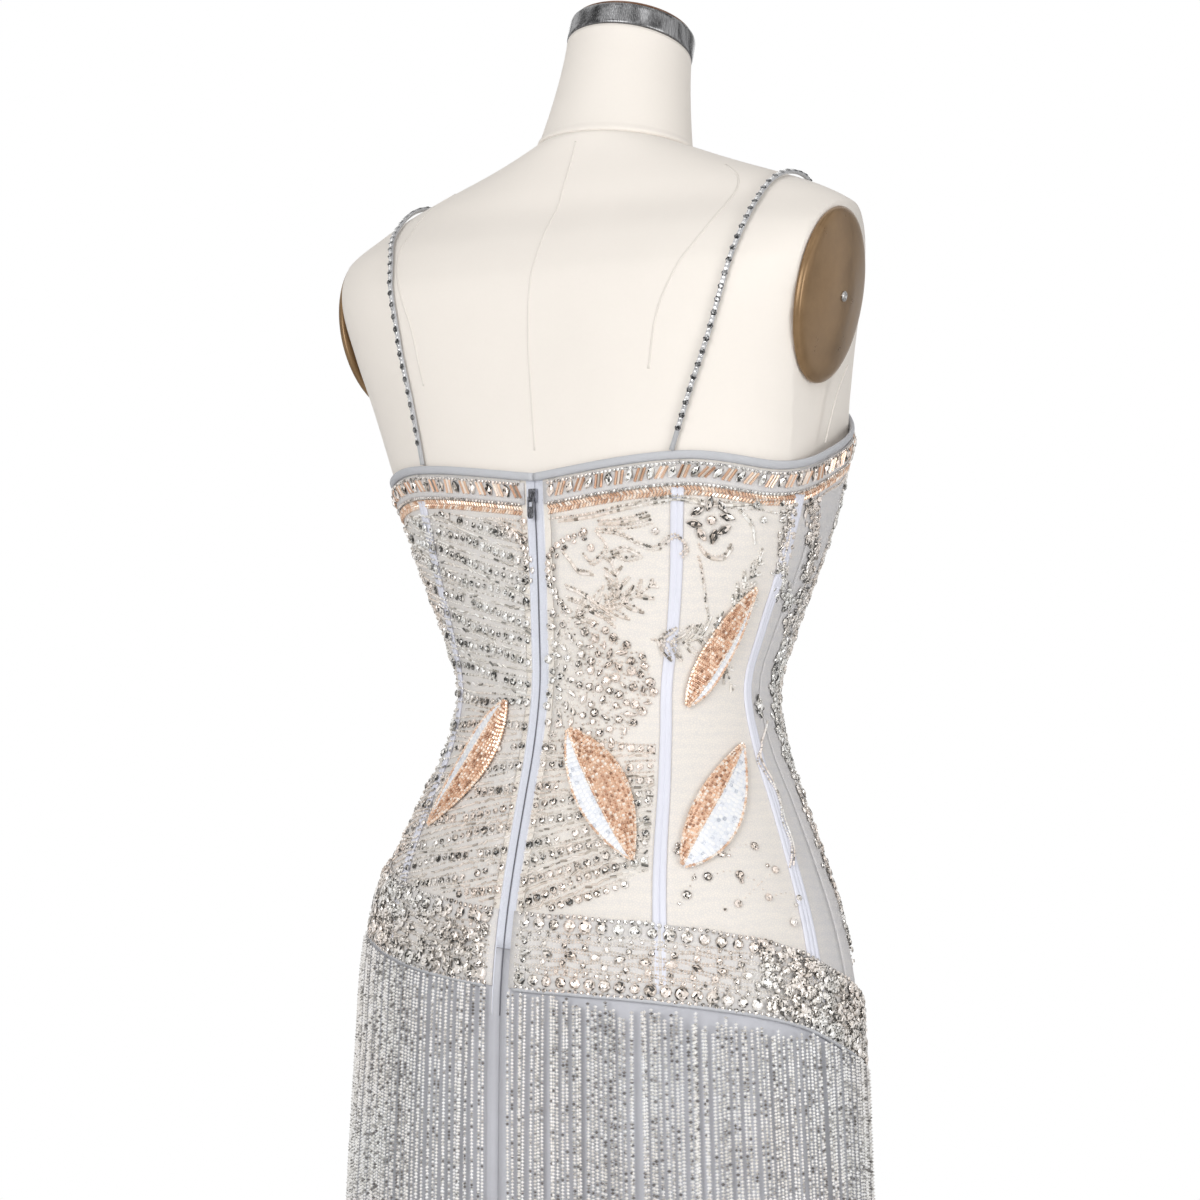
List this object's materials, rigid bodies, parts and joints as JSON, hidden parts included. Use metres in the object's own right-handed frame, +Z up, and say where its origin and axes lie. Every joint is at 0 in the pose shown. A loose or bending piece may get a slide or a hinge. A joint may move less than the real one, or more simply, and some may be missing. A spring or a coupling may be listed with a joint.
{
  "type": "mermaid evening gown on a dress form",
  "caption": "Strapped mermaid evening gown with a beaded net bodice, slanted beaded hip band and long bead fringe, standing on a limbless dress form with a pole and a round base.",
  "frame": {"origin": "centre of the underside of the stand's round base", "axes": "+Z up the pole to the neck cap, -Y out of the gown's front, +X to the wearer's left"},
  "size_m": [0.6944, 0.6441, 1.5265],
  "materials": {
    "form_cloth": "plain woven cover",
    "cap_steel": "dark brushed",
    "cap_brown": "brown enamel",
    "plate_brown": "brown satin",
    "screw_steel": "plain",
    "stand_steel": "satin",
    "net": "sheer net with beads",
    "tape": "plain tape",
    "satin": "satin",
    "binding": "plain binding",
    "beads": "cut glass and silver beads",
    "copper": "copper beads",
    "lining": "satin underskirt",
    "strap": "metallic mesh tube",
    "zip_metal": "bright"
  },
  "bodies": {
    "gown_and_form": {"arm_plate_left": "plate_brown", "arm_plate_right": "plate_brown", "arm_screw_left": "screw_steel", "arm_screw_right": "screw_steel", "bead_fringe": "beads", "bodice_back_left": "net", "bodice_back_right": "net", "bodice_front": "net", "bodice_side_back_left": "net", "bodice_side_back_right": "net", "bodice_side_front_left": "net", "bodice_side_front_right": "net", "boning_back_left": "satin", "boning_back_right": "satin", "boning_front_left": "satin", "boning_front_right": "satin", "boning_side_left": "satin", "boning_side_right": "satin", "form_base": "stand_steel", "form_neck": "form_cloth", "form_pole": "stand_steel", "form_torso": "form_cloth", "hip_band": "beads", "leaf_copper_left": "copper", "leaf_copper_right": "copper", "leaf_copper_side": "copper", "leaf_white_right": "beads", "neck_cap_ring": "cap_steel", "neck_cap_top": "cap_brown", "neckline_band": "beads", "skirt_back_left": "lining", "skirt_back_right": "lining", "skirt_front": "lining", "strap_left": "strap", "strap_right": "strap", "top_binding": "binding", "zip_slider": "zip_metal", "zip_tape_left": "tape", "zip_tape_right": "tape"},
    "pull_tab": {"zip_pull": "zip_metal"}
  },
  "joints": [
    {"name": "pull_tab_hinge", "type": "hinge", "parent": "gown_and_form", "child": "pull_tab", "pos_m": [0, 0.11074, 1.1674], "axis": [1, 0, 0], "range_deg": [0, 130]}
  ]
}
